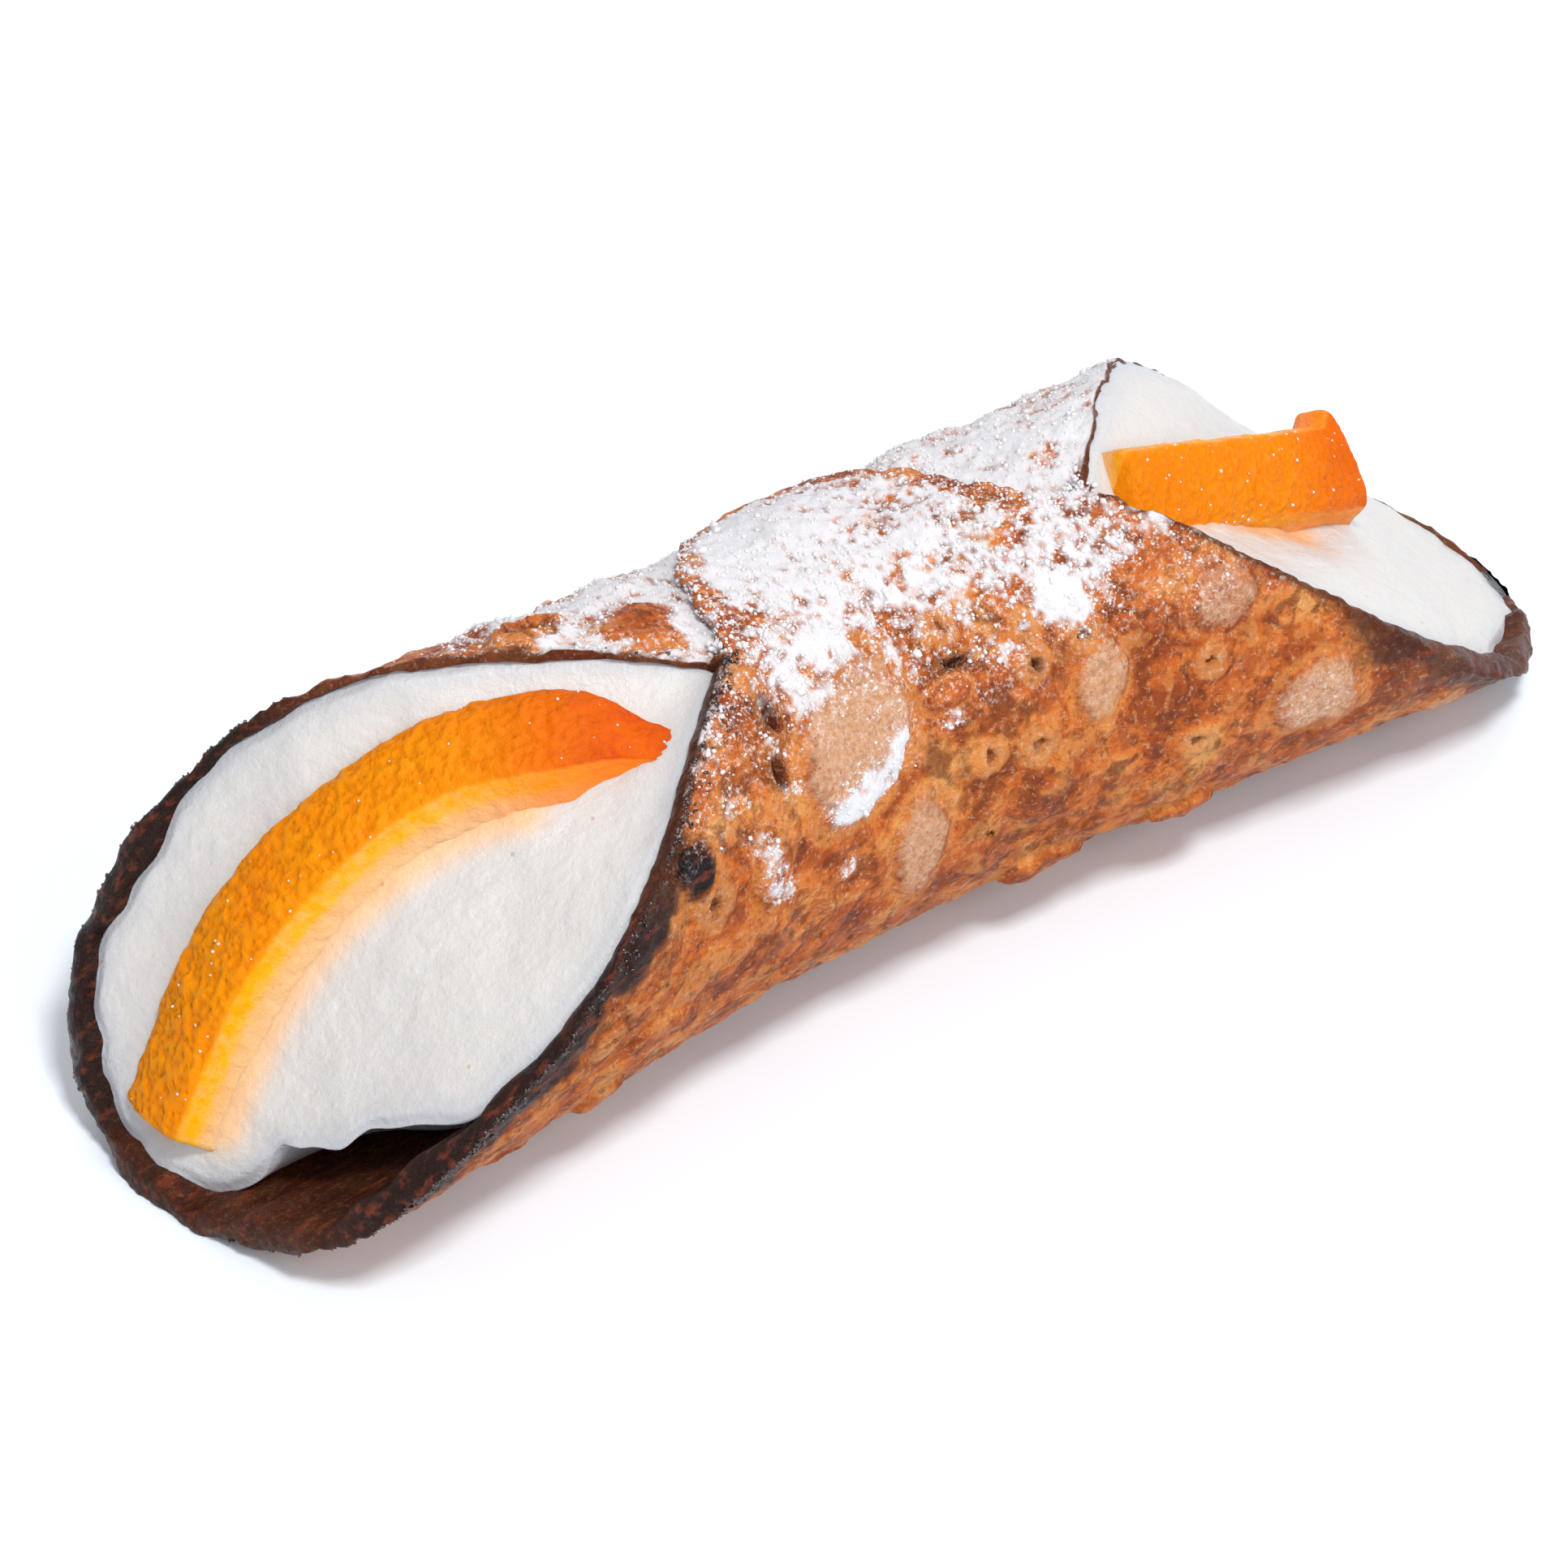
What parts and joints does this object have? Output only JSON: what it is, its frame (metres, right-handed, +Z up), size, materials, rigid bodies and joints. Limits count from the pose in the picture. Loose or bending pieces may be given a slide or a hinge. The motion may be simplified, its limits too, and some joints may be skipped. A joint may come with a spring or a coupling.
{
  "type": "filled cannoli pastry",
  "caption": "Fried pastry tube with slanted, flared mouths, filled right through with sweet white cream and topped at each end with a strip of candied orange peel.",
  "frame": {"origin": "on the floor, under the centre of the bounding box", "axes": "+X along the tube towards the mouth with the straight strip of peel, -Y towards the side where the upper flap starts, +Z up"},
  "size_m": [0.152, 0.0478, 0.0435],
  "materials": {
    "crust": "dry, blistered, deep-fried amber crust with burnt rims",
    "cream": "moist, slightly grainy off-white cream",
    "peel": "syrupy candied orange peel"
  },
  "bodies": {
    "root": {"shell": "crust", "cream": "cream", "near_peel": "peel", "far_peel": "peel"}
  },
  "joints": []
}
